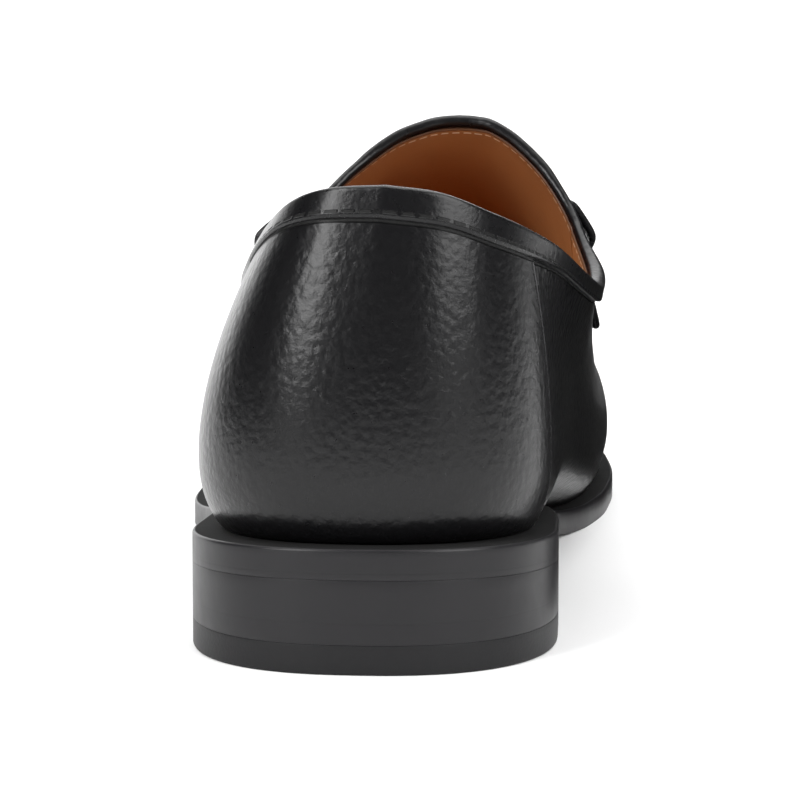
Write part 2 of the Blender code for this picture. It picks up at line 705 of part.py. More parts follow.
def make_bit(point, finish):
    """One casting: a ring at each side and a bar between them with a turned knuckle in its middle."""
    length, angles = strap_line(point)
    total = length[-1]
    over_strap = STRAP_GAP + STRAP_THICKNESS + CLEARANCE + BIT_LIFT
    middle = STRAP_ACROSS // 2
    rings = []
    inner_ends = []
    for crossing in ring_places(total):
        base, _ = strap_base(point, length, angles, crossing, np.full(2, STRAP_END_WIDTH))
        centre_at = crossing.mean()
        near = np.array([centre_at - BIT_WIRE / 2, centre_at + BIT_WIRE / 2])
        patch, up = strap_base(point, length, angles, near, np.full(2, BIT_RING))
        away = up.reshape(-1, 3).mean(axis=0)
        away /= np.linalg.norm(away)
        lift = np.array([CLEARANCE + BIT_LIFT, over_strap]) + BIT_WIRE / 2
        ends = base[:, middle] + away * lift[:, None]
        rings.append(ring_mesh(ends[0], ends[1], patch[:, -1].mean(axis=0) - patch[:, 0].mean(axis=0)))
        inner_ends.append(ends[1])
    start = ring_places(total)[0][1]
    places = np.linspace(start, total - start, BAR_STEPS)
    base, normal = strap_base(point, length, angles, places, np.full(BAR_STEPS, STRAP_WIDTH))
    share = np.linspace(0, 1, BAR_STEPS)
    off_middle = np.abs(2 * share - 1)
    bead = sum(np.exp(-((off_middle - at) / BEAD_LENGTH) ** 2) for at in BEAD_PLACES)
    radii = BIT_WIRE / 2 * (BAR_WAIST + (1 - BAR_WAIST) * off_middle) + BIT_BEAD * bead
    centres = base[:, middle] + normal[:, middle] * (over_strap + BIT_WIRE / 2 + BIT_BEAD)
    centres += (1 - share[:, None]) ** 2 * (inner_ends[0] - centres[0])
    centres += share[:, None] ** 2 * (inner_ends[1] - centres[-1])
    bit = new_piece("bit", *tube(centres, radii, np.array([0.0, 1.0, 0.0]), RING_SIDES + 2), finish)
    for number, (points, faces) in enumerate(rings):
        ring = new_piece(f"bit_ring_form_{number}", points, faces, finish)
        ring.hide_render = True
        ring.display_type = "WIRE"
        join = bit.modifiers.new(f"ring_{number}", "BOOLEAN")
        join.operation = "UNION"
        join.solver = "EXACT"
        join.object = ring
    return bit


def centre_on_box():
    """Moves every mesh so that the middle of the whole shoe's box is over the origin."""
    shown = [thing for thing in bpy.data.objects if not thing.hide_render]
    corners = np.array([v.co for thing in shown for v in thing.data.vertices])
    middle = (corners.min(axis=0) + corners.max(axis=0)) / 2
    for thing in bpy.data.objects:
        thing.data.transform(Matrix.Translation((-middle[0], -middle[1], 0)))


def clear_scene():
    for thing in list(bpy.data.objects):
        bpy.data.objects.remove(thing, do_unlink=True)


def main():
    clear_scene()
    calf = material("black_calf", (0.012, 0.011, 0.012), 0.38)
    edge = material("sole_edge", (0.014, 0.012, 0.013), 0.42)
    rubber = material("lift_rubber", (0.02, 0.019, 0.019), 0.62)
    steel = material("bit_metal", (0.62, 0.6, 0.58), 0.2, 1.0)
    sock = material("tan_lining", (0.30, 0.13, 0.05), 0.6)
    make_outsole(spaced_ribs(SOLE_HEEL_RIBS, SOLE_SIDE_RIBS, SOLE_TOE_RIBS), edge)
    make_heel_layer("heel_top_lift", floor, lift_top, LIFT_TAPER, rubber)
    make_heel_layer("heel_stack", stack_bottom, stack_top, 0, edge)
    upper = make_upper(calf)
    make_insole(sock)
    point = outside_of(upper)
    make_strap(point, calf)
    make_bit(point, steel)
    centre_on_box()


main()
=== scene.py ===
import math

import bmesh
import bpy
import numpy as np
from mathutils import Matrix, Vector


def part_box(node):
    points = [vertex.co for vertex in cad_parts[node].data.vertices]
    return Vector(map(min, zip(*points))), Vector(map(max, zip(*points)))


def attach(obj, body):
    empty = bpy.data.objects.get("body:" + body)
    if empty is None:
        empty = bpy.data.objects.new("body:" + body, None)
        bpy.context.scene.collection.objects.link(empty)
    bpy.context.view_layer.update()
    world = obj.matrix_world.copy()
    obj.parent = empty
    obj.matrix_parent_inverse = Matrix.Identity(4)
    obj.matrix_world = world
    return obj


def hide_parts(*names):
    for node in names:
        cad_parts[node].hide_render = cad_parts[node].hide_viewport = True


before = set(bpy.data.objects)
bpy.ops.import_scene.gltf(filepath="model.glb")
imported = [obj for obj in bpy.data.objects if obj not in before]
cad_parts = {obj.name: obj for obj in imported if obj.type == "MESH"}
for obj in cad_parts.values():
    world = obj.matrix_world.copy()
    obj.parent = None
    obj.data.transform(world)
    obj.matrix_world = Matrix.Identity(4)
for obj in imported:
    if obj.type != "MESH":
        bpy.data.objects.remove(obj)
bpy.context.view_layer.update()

# The shoe's own sizes in metres, the same as the CAD part's. Inside the formulas the heel's back is at y = 0
# and the middle of the heel at x = 0; place() moves a surface into the frame.
size = {
    "length": 0.300,
    "ball": 0.0955,
    "heel": 0.0660,
    "soleThickness": 0.0054,
    "heelHeight": 0.0164,
    "seatFall": 0.79,
    "heelLength": 0.070,
    "breastHollow": 0.0045,
    "lift": 0.0052,
    "toeSpring": 0.0105,
    "back": 0.0830,
    "side": 0.0610,
    "throat": 0.0936,
    "toe": 0.0450,
    "throatAt": 0.1180,
    "collarAt": 0.0085,
    "collar": 0.0718,
    "inset": 0.0022,
    "tuck": 0.0042,
    "wall": 0.0020,
    "band": 0.0062,
    "bandStep": 0.0006,
    "counterStep": 0.0007,
    "ridge": 0.0012,
    "ridgeWidth": 0.0034,
    "gap": 0.0003,
}

# Sole outline: place, half width as shares of heel and ball width, centre as a share of ball width
soleRows = np.array([
    (0.000, 0.500, 0.000, 0.000),
    (0.125, 0.500, 0.000, 0.000),
    (0.200, 0.496, 0.000, -0.004),
    (0.300, 0.330, 0.103, -0.036),
    (0.400, 0.170, 0.236, -0.072),
    (0.480, 0.060, 0.362, -0.089),
    (0.560, 0.000, 0.472, -0.086),
    (0.620, 0.000, 0.496, -0.075),
    (0.680, 0.000, 0.500, -0.064),
    (0.800, 0.000, 0.500, -0.037),
    (0.900, 0.000, 0.500, -0.014),
    (1.000, 0.000, 0.500, 0.002),
])

# Underside: place, share of the heel's height, share of the toe spring
undersideRows = np.array([
    (0.00, 1.00, 0.00),
    (0.12, 0.91, 0.00),
    (0.24, 0.81, 0.00),
    (0.31, 0.66, 0.00),
    (0.38, 0.43, 0.00),
    (0.45, 0.19, 0.00),
    (0.51, 0.04, 0.00),
    (0.55, 0.00, 0.00),
    (0.65, 0.00, 0.00),
    (0.74, 0.00, 0.00),
    (0.80, 0.00, 0.06),
    (0.87, 0.00, 0.27),
    (0.94, 0.00, 0.61),
    (1.00, 0.00, 1.00),
])

# Widest line of the upper: place, half width as shares of heel and ball width, centre, height and crest's
# centre as shares of ball width, how square the section is on the inner and the outer side
wideRows = np.array([
    (0.000, 0.480, 0.000, 0.000, 0.150, 0.045, 2.4, 2.4),
    (0.125, 0.480, 0.000, 0.002, 0.150, 0.050, 2.4, 2.4),
    (0.200, 0.420, 0.056, 0.000, 0.150, 0.060, 2.6, 2.2),
    (0.300, 0.300, 0.160, -0.006, 0.150, 0.080, 2.8, 1.9),
    (0.400, 0.160, 0.290, -0.016, 0.150, 0.102, 2.8, 1.9),
    (0.480, 0.060, 0.396, -0.036, 0.150, 0.088, 2.7, 2.2),
    (0.560, 0.000, 0.465, -0.052, 0.145, 0.060, 2.5, 2.4),
    (0.620, 0.000, 0.482, -0.062, 0.140, 0.036, 2.4, 2.4),
    (0.680, 0.000, 0.484, -0.059, 0.135, 0.014, 2.4, 2.4),
    (0.800, 0.000, 0.484, -0.035, 0.125, -0.004, 2.4, 2.4),
    (0.900, 0.000, 0.484, -0.013, 0.112, -0.002, 2.4, 2.4),
    (1.000, 0.000, 0.484, 0.002, 0.095, 0.002, 2.4, 2.4),
])

# Crest: share of the way from throat to toe, share of the fall
crestRows = np.array([
    (-0.60, 1.24),
    (-0.30, 1.16),
    (-0.12, 1.08),
    (0.000, 1.00),
    (0.094, 0.81),
    (0.210, 0.595),
    (0.340, 0.395),
    (0.470, 0.250),
    (0.600, 0.145),
    (0.740, 0.065),
    (0.860, 0.010),
    (1.000, 0.000),
])

# Topline by rib: place, inner rise, outer rise, inner x, outer x, place of the apron seam on the rib
toplineRows = np.array([
    (0.00, 0.000, 1.000, 1.000, 0.056, 0.056, 0.50),
    (0.06, 0.012, 0.940, 0.975, 0.185, -0.070, 0.50),
    (0.12, 0.050, 0.795, 0.870, 0.290, -0.155, 0.50),
    (0.18, 0.118, 0.655, 0.680, 0.372, -0.222, 0.50),
    (0.24, 0.232, 0.480, 0.450, 0.448, -0.284, 0.50),
    (0.30, 0.408, 0.215, 0.260, 0.515, -0.338, 0.50),
    (0.36, 0.600, 0.035, 0.100, 0.550, -0.375, 0.51),
    (0.42, 0.750, 0.090, 0.130, 0.548, -0.352, 0.57),
    (0.48, 0.850, 0.235, 0.355, 0.520, -0.288, 0.66),
    (0.56, 0.920, 0.436, 0.610, 0.478, -0.196, 0.63),
    (0.64, 0.957, 0.666, 0.761, 0.407, -0.123, 0.52),
    (0.72, 0.979, 0.859, 0.896, 0.318, -0.038, 0.43),
    (0.80, 0.990, 0.960, 0.965, 0.248, 0.040, 0.37),
    (0.90, 0.998, 0.992, 0.992, 0.192, 0.092, 0.335),
    (1.00, 1.000, 1.000, 1.000, 0.142, 0.142, 0.32),
])

# Rounding of the plan and the sections, how ribs crowd at the ends, the rib of the counter's edge on the
# inner and the outer side, and the ribs between which a form comes or goes
shape = {
    "heelRound": 0.125,
    "toeRound": 0.670,
    "heelPower": 2.4,
    "toePower": 2.15,
    "crestRound": 0.62,
    "crestPower": 3.0,
    "domeUp": 1.3,
    "domeSquare": 0.25,
    "sideBow": 1.7,
    "topDraw": 2.5,
    "domePlan": 1.1,
    "skirtBulge": 2.6,
    "tuckSpread": 0.3,
    "crowdHeel": 0.24,
    "crowdToe": 0.28,
    "counterRibs": (0.185, 0.220),
    "seamRibs": (0.600, 0.660),
    "throatRibs": (0.30, 0.42),
    "domeRibs": (0.40, 0.62),
    "bandRibs": (0.40, 0.50),
}


# A smooth curve through one column of a table: cubic pieces with the slope of the neighbours at each row
def curveOf(at, rows, column):
    places, values = rows[:, 0], rows[:, column]
    slopes = np.gradient(values, places)
    at = np.clip(at, places[0], places[-1])
    k = np.clip(np.searchsorted(places, at, side="right") - 1, 0, len(places) - 2)
    step = places[k + 1] - places[k]
    t = (at - places[k]) / step
    start = values[k] * (1 + 2 * t) * (1 - t) ** 2 + slopes[k] * step * t * (1 - t) ** 2
    return start + values[k + 1] * t * t * (3 - 2 * t) - slopes[k + 1] * step * t * t * (1 - t)


# 1 as far as start, then a rounded fall to 0 at end
def roundEnd(share, start, end, power):
    past = np.clip((share - start) / (end - start), 0, 1)
    return (1 - past**power) ** (1 / power)


def smoothStep(value, low, high):
    t = np.clip((value - low) / (high - low), 0, 1)
    return t * t * (3 - 2 * t)


# Share of the length at a rib's foot; ribs crowd into the round heel and toe
def ribShare(rib):
    heel, toe = shape["crowdHeel"], shape["crowdToe"]
    pace = 1 / (1 - heel / 2 - toe / 2)
    back = pace * np.minimum(rib, heel) ** 2 / (2 * heel)
    middle = pace * np.clip(rib - heel, 0, 1 - heel - toe)
    left = np.minimum(1 - rib, toe)
    return back + middle + pace * (toe / 2 - left**2 / (2 * toe))


def halfWidth(share, rows):
    ends = roundEnd(share, shape["heelRound"], 0, shape["heelPower"])
    ends = ends * roundEnd(share, shape["toeRound"], 1, shape["toePower"])
    return ends * (size["heel"] * curveOf(share, rows, 1) + size["ball"] * curveOf(share, rows, 2))


def underside(y):
    share = np.asarray(y) / size["length"]
    low = size["heelHeight"] * curveOf(share, undersideRows, 1)
    low += size["toeSpring"] * curveOf(share, undersideRows, 2)
    seat = size["heelHeight"] * (1 - size["seatFall"] * share)
    return np.where(y <= size["heelLength"], seat, np.maximum(low, 0))


def soleTop(y):
    return underside(y) + size["soleThickness"]


def soleSide(rib, side):
    share = ribShare(rib)
    x = size["ball"] * curveOf(share, soleRows, 3) + side * halfWidth(share, soleRows)
    return np.stack([x, size["length"] * share], axis=1)


# The inner and the outer side as one closed loop; they share their two ends
def loopOf(inner, outer):
    return np.concatenate([inner, outer[-2:0:-1]])


def insetLoop(loop, amount):
    tangent = np.roll(loop, -1, axis=0) - np.roll(loop, 1, axis=0)
    tangent /= np.linalg.norm(tangent, axis=1, keepdims=True)
    return loop + np.stack([-tangent[:, 1], tangent[:, 0]], axis=1) * amount


def wideLength():
    return size["length"] - 2 * size["inset"]


def wideShare(y):
    return (y - size["inset"]) / wideLength()


def wideEdge(y, side):
    share = wideShare(y)
    return size["ball"] * curveOf(share, wideRows, 3) + side * halfWidth(share, wideRows)


def wideHeight(y):
    return soleTop(y) + size["ball"] * curveOf(wideShare(y), wideRows, 4)


def crestHeight(y):
    way = (y - size["throatAt"]) / (size["length"] - size["inset"] - size["throatAt"])
    ridge = size["toe"] + (size["throat"] - size["toe"]) * curveOf(way, crestRows, 1)
    low = wideHeight(y)
    return low + (ridge - low) * roundEnd(way, shape["crestRound"], 1, shape["crestPower"])


# Height of the vamp over the plan: (1 - out^square)^(1 / (domeUp + domeSquare square)) of the way up to the
# crest
def domeHeight(x, y):
    share = wideShare(y)
    middle = size["ball"] * curveOf(share, wideRows, 5)
    inner = x > middle
    reach = np.where(inner, wideEdge(y, 1), wideEdge(y, -1)) - middle
    square = np.where(inner, curveOf(share, wideRows, 6), curveOf(share, wideRows, 7))
    out = np.clip((x - middle) / np.where(np.abs(reach) < 1e-6, 1e-6, reach), 0, 1)
    low = wideHeight(y)
    power = 1 / (shape["domeUp"] + shape["domeSquare"] * square)
    return low + (crestHeight(y) - low) * (1 - out**square) ** power


def toplineAt(rib, side):
    y = size["collarAt"] + (size["throatAt"] - size["collarAt"]) * curveOf(rib, toplineRows, 1)
    x = size["collar"] * curveOf(rib, toplineRows, 4 if side > 0 else 5)
    full = size["back"] + (size["throat"] - size["back"]) * smoothStep(rib, *shape["throatRibs"])
    z = size["side"] + (full - size["side"]) * curveOf(rib, toplineRows, 2 if side > 0 else 3)
    return np.stack([x, y, z], axis=1)


def featherEdge(rib, side):
    share = ribShare(rib)
    y = size["inset"] + size["tuck"] + (wideLength() - 2 * size["tuck"]) * share
    middle = 0.5 * (soleSide(rib, 1)[:, 0] + soleSide(rib, -1)[:, 0])
    room = np.abs(soleSide(rib, side)[:, 0] - middle)
    wide = np.abs(wideEdge(size["inset"] + wideLength() * share, side) - middle)
    even = shape["tuckSpread"]
    tuck = size["tuck"] * room / (room.max() * even + room * (1 - even))
    x = middle + side * np.maximum(np.minimum(wide, room) - tuck, 0)
    return np.stack([x, y, soleTop(y) + size["gap"]], axis=1)


# Points of the fine curve of each rib, in the skirt and above it
skirtSteps = 60
roofSteps = 400


# Each rib from the feather edge over the widest line to the topline: a bulged skirt, then a leaning side at
# the back that turns into the vamp's dome in front
def ribCurves(rib, side):
    y = size["inset"] + wideLength() * ribShare(rib)
    wide = np.stack([wideEdge(y, side), y, wideHeight(y)], axis=1)
    foot, top = featherEdge(rib, side), toplineAt(rib, side)
    t = np.linspace(0, 1, skirtSteps)[:-1, None]
    bulge = 1 - (1 - t) ** shape["skirtBulge"]
    skirt = foot[:, None] + (wide - foot)[:, None] * np.concatenate([bulge, bulge, t], axis=1)
    t = np.linspace(0, 1, roofSteps)[None, :]
    front = smoothStep(rib, *shape["domeRibs"])[:, None]
    plan = (1 - front) * t ** shape["sideBow"] + front * (1 - np.cos(t * math.pi / 2) ** shape["domePlan"])
    lift = (1 - front) * t + front * np.sin(t * math.pi / 2)
    xy = wide[:, None, :2] + (top - wide)[:, None, :2] * plan[:, :, None]
    zSide = wide[:, 2:3] + (top - wide)[:, 2:3] * lift
    z = zSide + front * (domeHeight(xy[:, :, 0], xy[:, :, 1]) - zSide)
    z += (top[:, 2:3] - z[:, -1:]) * plan ** shape["topDraw"]
    return np.concatenate([skirt, np.concatenate([xy, z[:, :, None]], axis=2)], axis=1)


heelLow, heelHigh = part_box("heel_top_lift")
placeShift = np.array([(heelLow.x + heelHigh.x) / 2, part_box("outsole")[0].y, 0.0])


def place(points):
    return points + placeShift


# A mesh object from points and quads, turned to face outwards, with one value per vertex for each attribute
def newPiece(name, points, quads, material, attributes=None, caps=()):
    points = np.ascontiguousarray(points.reshape(-1, 3))
    a, b, c, d = (points[quads[:, k]] for k in range(4))
    inside = np.einsum("ij,ij->", a, np.cross(b, c)) + np.einsum("ij,ij->", a, np.cross(c, d)) < 0
    faces = (quads[:, ::-1] if inside else quads).tolist() + [list(cap) for cap in caps]
    mesh = bpy.data.meshes.new(name)
    mesh.from_pydata(points.tolist(), [], faces)
    for key, values in (attributes or {}).items():
        layer = mesh.attributes.new(key, "FLOAT", "POINT")
        layer.data.foreach_set("value", np.ascontiguousarray(values, np.float32).ravel())
    mesh.shade_smooth()
    mesh.materials.append(material)
    piece = bpy.data.objects.new(name, mesh)
    bpy.context.scene.collection.objects.link(piece)
    return piece


# Quads of a grid of rings by rows that closes on itself both ways, or only round the rings
def gridQuads(rings, rows, closed=True):
    ring, row = np.meshgrid(np.arange(rings), np.arange(rows if closed else rows - 1), indexing="ij")
    nextRing, nextRow = (ring + 1) % rings, (row + 1) % rows
    corners = [ring * rows + row, nextRing * rows + row, nextRing * rows + nextRow, ring * rows + nextRow]
    return np.stack(corners, axis=-1).reshape(-1, 4)


# One value of a shader graph. Arithmetic on it adds Math nodes.
class Wire:
    def __init__(self, graph, socket):
        self.graph = graph
        self.socket = socket

    def math(self, operation, other=0.0, turned=False):
        first, second = (other, self) if turned else (self, other)
        return self.graph.add("ShaderNodeMath", {"operation": operation}, {0: first, 1: second})

    def __add__(self, other):
        return self.math("ADD", other)

    def __radd__(self, other):
        return self.math("ADD", other, True)

    def __sub__(self, other):
        return self.math("SUBTRACT", other)

    def __rsub__(self, other):
        return self.math("SUBTRACT", other, True)

    def __mul__(self, other):
        return self.math("MULTIPLY", other)

    def __rmul__(self, other):
        return self.math("MULTIPLY", other, True)

    def __truediv__(self, other):
        return self.math("DIVIDE", other)

    def __abs__(self):
        return self.math("ABSOLUTE")

    def cap(self):
        return self.math("MINIMUM", 1.0).math("MAXIMUM", 0.0)

    # 1 within half of a place, fading to 0 over the softness
    def row(self, place, half, softness):
        return ((half + softness - abs(self - place)) / softness).cap()

    # Dashes along a length: 1 on a stitch, 0 between two
    def dashes(self, pitch, share):
        along = abs((self / pitch).math("FRACT") - 0.5) / (0.5 * share)
        return ((1.15 - along) / 0.3).cap()


class Graph:
    def __init__(self, name):
        self.material = bpy.data.materials.new(name)
        self.material.use_nodes = True
        self.tree = self.material.node_tree
        self.surface = self.tree.nodes["Principled BSDF"]
        self.where = self.add("ShaderNodeTexCoord", output="Object")

    # A node of a type, its settings first and then its socket values or links
    def add(self, kind, settings=None, values=None, output=0):
        made = self.tree.nodes.new(kind)
        for key, value in (settings or {}).items():
            setattr(made, key, value)
        for key, value in (values or {}).items():
            self.put(made.inputs[key], value)
        return Wire(self, made.outputs[output])

    def put(self, socket, value):
        if isinstance(value, Wire):
            self.tree.links.new(value.socket, socket)
        else:
            socket.default_value = value

    # Sockets of the surface by name, so coatWeight is Coat Weight
    def set(self, **values):
        for key, value in values.items():
            words = "".join(" " + letter if letter.isupper() else letter for letter in key)
            self.put(self.surface.inputs[words[:1].upper() + words[1:]], value)

    def specular(self, level):
        self.surface.inputs["Specular IOR Level"].default_value = level

    def value(self, name):
        return self.add("ShaderNodeAttribute", {"attribute_name": name}, output="Fac")

    def noise(self, cell, detail):
        values = {"Vector": self.where, "Scale": 1 / cell, "Detail": detail}
        return self.add("ShaderNodeTexNoise", values=values)

    def cells(self, cell, smooth):
        values = {"Vector": self.where, "Scale": 1 / cell, "Smoothness": smooth}
        return self.add("ShaderNodeTexVoronoi", {"feature": "SMOOTH_F1"}, values)

    def mix(self, factor, low, high):
        return self.add("ShaderNodeMix", {"data_type": "RGBA"}, {0: factor, 6: low, 7: high}, 2)

    # Heights are in metres
    def bump(self, height):
        return self.add("ShaderNodeBump", values={"Height": height, "Distance": 1.0, "Strength": 1.0})


# Black calf. The counter is smooth and fine, the quarters and vamp carry a pebble grain. Each seam and stitch
# row is its distance past the edge that it follows, its half width and its softness. The grooves under the
# band's and the counter's edges carry painted shade, and a light line along the counter's front edge is a
# painted highlight.
calf = {
    "colour": (0.0042, 0.0041, 0.0046, 1),
    # Painted shade: the darker colour of the grooves under the band's and the counter's edges
    "grooveShadeColour": (0.0008, 0.0008, 0.0008, 1),
    # Painted highlight: the light grey of a line along the counter's front edge
    "paintedHighlightColour": (0.150, 0.147, 0.152, 1),
    "threadColour": (0.0010, 0.0010, 0.0010, 1),
    "roughness": 0.28,
    "roughnessSpread": 0.08,
    "grainRoughness": 0.04,
    "seamRoughness": 0.35,
    "specular": 0.27,
    "coat": 0.08,
    "coatRoughness": 0.24,
    "pebble": 0.00150,
    "pebbleSoftness": 0.6,
    "pebbleDepth": 0.00026,
    "strapPebbleDepth": 0.00013,
    "fine": 0.00055,
    "fineDepth": 0.00004,
    "wrinkle": 0.0012,
    "wrinkleDepth": 0.00005,
    "counterFade": 0.0008,
    "counterSmoothness": 0.70,
    "bandFade": 0.0006,
    "bandSmoothness": 0.80,
    "bandStitch": (-0.0013, 0.00020, 0.00014),
    "bandGroove": (0.0002, 0.00016, 0.0003),
    "sideStitch": (-0.0014, 0.00016, 0.00016),
    "sideGroove": (0.0002, 0.00018, 0.0003),
    "apronStitch": (0.0024, 0.00016, 0.00014),
    # Place of the painted highlight line just inside the counter's front edge
    "cutEdge": (-0.0005, 0.00020, 0.0003),
    "grooveDepth": 0.00060,
    "threadDepth": 0.00030,
    "stitchPitch": 0.0027,
    "sidePitch": 0.00216,
    "stitchShare": 0.70,
}


def calfMaterial(name, panels):
    g = Graph(name)
    pebble = 1 - g.cells(calf["pebble"], calf["pebbleSoftness"])
    pores = g.noise(calf["fine"], 3.0)
    wrinkle = g.noise(calf["wrinkle"], 2.0)
    height = pores * calf["fineDepth"] + wrinkle * calf["wrinkleDepth"]
    colour, rough = calf["colour"], calf["roughness"] + (wrinkle - 0.5) * calf["roughnessSpread"]
    if panels:
        fromTop, toCounter, bandShare = g.value("fromTop"), g.value("toCounter"), g.value("bandShare")
        fromBand = fromTop - size["band"]
        counter = (0.5 - toCounter / calf["counterFade"]).cap()
        onBand = (0.5 - fromBand / calf["bandFade"]).cap() * bandShare
        below = 1 - onBand
        grain = (1 - counter * calf["counterSmoothness"]) * (1 - onBand * calf["bandSmoothness"])
        height = height + pebble * grain * calf["pebbleDepth"]
        alongTop = g.value("roundTop").dashes(calf["stitchPitch"], calf["stitchShare"])
        alongSide = fromTop.dashes(calf["sidePitch"], calf["stitchShare"])
        bandStitch = fromBand.row(*calf["bandStitch"]) * bandShare * alongTop
        bandGroove = fromBand.row(*calf["bandGroove"]) * bandShare
        sideStitch = toCounter.row(*calf["sideStitch"]) * alongSide * below
        sideGroove = toCounter.row(*calf["sideGroove"]) * below
        apronStitch = abs(g.value("toSeam")).row(*calf["apronStitch"]) * g.value("seamShare") * alongTop
        # Painted highlight along the counter's front edge, away from the band, where that edge would catch
        # the light
        cutEdge = toCounter.row(*calf["cutEdge"]) * below
        groove = (bandGroove + sideGroove).cap()
        thread = (bandStitch + sideStitch + apronStitch).cap()
        height = height - groove * calf["grooveDepth"] - thread * calf["threadDepth"]
        colour = g.mix(cutEdge, colour, calf["paintedHighlightColour"])
        # The grooves are painted darker, as shade in the recesses under the band's and the counter's edges
        colour = g.mix(groove, colour, calf["grooveShadeColour"])
        colour = g.mix(thread, colour, calf["threadColour"])
        rough = rough + grain * calf["grainRoughness"] + (thread + groove).cap() * calf["seamRoughness"]
    else:
        height = height + pebble * calf["strapPebbleDepth"]
    g.set(baseColor=colour, roughness=rough.cap(), normal=g.bump(height))
    g.set(coatWeight=calf["coat"], coatRoughness=calf["coatRoughness"])
    g.specular(calf["specular"])
    return g.material


# Tan lining leather with a light stitch row below its dark cut edge. The lining lies a gap inside the
# leather, and its inner face a little past the wall.
lining = {
    "colour": (0.470, 0.195, 0.066, 1),
    "dark": (0.340, 0.130, 0.042, 1),
    "cut": (0.120, 0.046, 0.016, 1),
    "thread": (0.85, 0.66, 0.46, 1),
    "roughness": 0.5,
    "patch": 0.02,
    "grain": 0.0009,
    "grainDepth": 0.00005,
    "edge": 0.0026,
    "cutReach": 0.0007,
    "cutFade": 0.0004,
    "stitchRow": (0.0016, 0.00020, 0.00014),
    "stitchPitch": 0.0024,
    "stitchShare": 0.66,
    "threadDepth": 0.00015,
    "gap": 0.0001,
    "past": 0.00025,
}


def liningMaterial(name, stitched):
    g = Graph(name)
    colour = g.mix(g.noise(lining["patch"], 3.0), lining["dark"], lining["colour"])
    height = g.noise(lining["grain"], 3.0) * lining["grainDepth"]
    if stitched:
        fromEdge = g.value("fromTop") - lining["edge"]
        cut = ((lining["cutReach"] - fromEdge) / lining["cutFade"]).cap()
        stitches = g.value("roundTop").dashes(lining["stitchPitch"], lining["stitchShare"])
        thread = fromEdge.row(*lining["stitchRow"]) * stitches
        colour = g.mix(thread, g.mix(cut, colour, lining["cut"]), lining["thread"])
        height = height + thread * lining["threadDepth"]
    g.set(baseColor=colour, roughness=lining["roughness"], normal=g.bump(height))
    return g.material


# Burnished black sole edge with a rougher top face outside the upper, painted darker as the shade of the
# groove under the upper's edge, and a stacked heel with a faint layer line
soleLook = {
    "colour": (0.0095, 0.0090, 0.0102, 1),
    # Painted shade: the darker colour of the sole's top face, for the groove under the upper's edge
    "ledge": (0.0030, 0.0029, 0.0030, 1),
    "under": (0.030, 0.026, 0.026, 1),
    "line": (0.004, 0.004, 0.004, 1),
    "roughness": 0.34,
    "roughnessSpread": 0.1,
    "ledgeRoughness": 0.90,
    "specular": 0.32,
    "ledgeDrop": 0.0004,
    "ledgeFade": 0.0002,
    "soleLine": 0.0012,
    "stackLine": 0.0037,
    "lineWidth": (0.00008, 0.00016),
    "lineShare": 0.12,
    "lineDepth": 0.00006,
    "streak": 0.003,
    "streakDepth": 0.00003,
}


def soleMaterial(name, linePlace, ledgePlace):
    g = Graph(name)
    level, onEdge = g.value("level"), g.value("onEdge")
    ledge = ((level - ledgePlace) / soleLook["ledgeFade"]).cap() * (1 - onEdge)
    line = level.row(linePlace, *soleLook["lineWidth"]) * onEdge * soleLook["lineShare"]
    streak = g.noise(soleLook["streak"], 3.0)
    # The top face takes the darker colour: painted shade of the groove under the upper's edge
    colour = g.mix(onEdge, g.mix(ledge, soleLook["under"], soleLook["ledge"]), soleLook["colour"])
    colour = g.mix(line, colour, soleLook["line"])
    rough = soleLook["roughness"] + streak * soleLook["roughnessSpread"]
    rough = rough + ledge * (soleLook["ledgeRoughness"] - soleLook["roughness"])
    height = streak * soleLook["streakDepth"] - line * soleLook["lineDepth"]
    g.set(baseColor=colour, roughness=rough, normal=g.bump(height))
    g.specular(soleLook["specular"])
    return g.material


# Matt rubber of the top lift
liftLook = {
    "colour": (0.011, 0.0108, 0.0116, 1),
    "roughness": 0.46,
    "specular": 0.22,
    "grain": 0.0006,
    "grainDepth": 0.00004,
}


def rubberMaterial():
    g = Graph("liftRubber")
    height = g.noise(liftLook["grain"], 2.0) * liftLook["grainDepth"]
    g.set(baseColor=liftLook["colour"], roughness=liftLook["roughness"], normal=g.bump(height))
    g.specular(liftLook["specular"])
    return g.material


bitLook = {
    "colour": (0.66, 0.63, 0.58, 1),
    "roughness": 0.12,
    "roughnessSpread": 0.06,
    "patch": 0.004,
}


def metalMaterial():
    g = Graph("polishedMetal")
    g.set(baseColor=bitLook["colour"], metallic=1.0)
    g.set(roughness=bitLook["roughness"] + g.noise(bitLook["patch"], 3.0) * bitLook["roughnessSpread"])
    return g.material


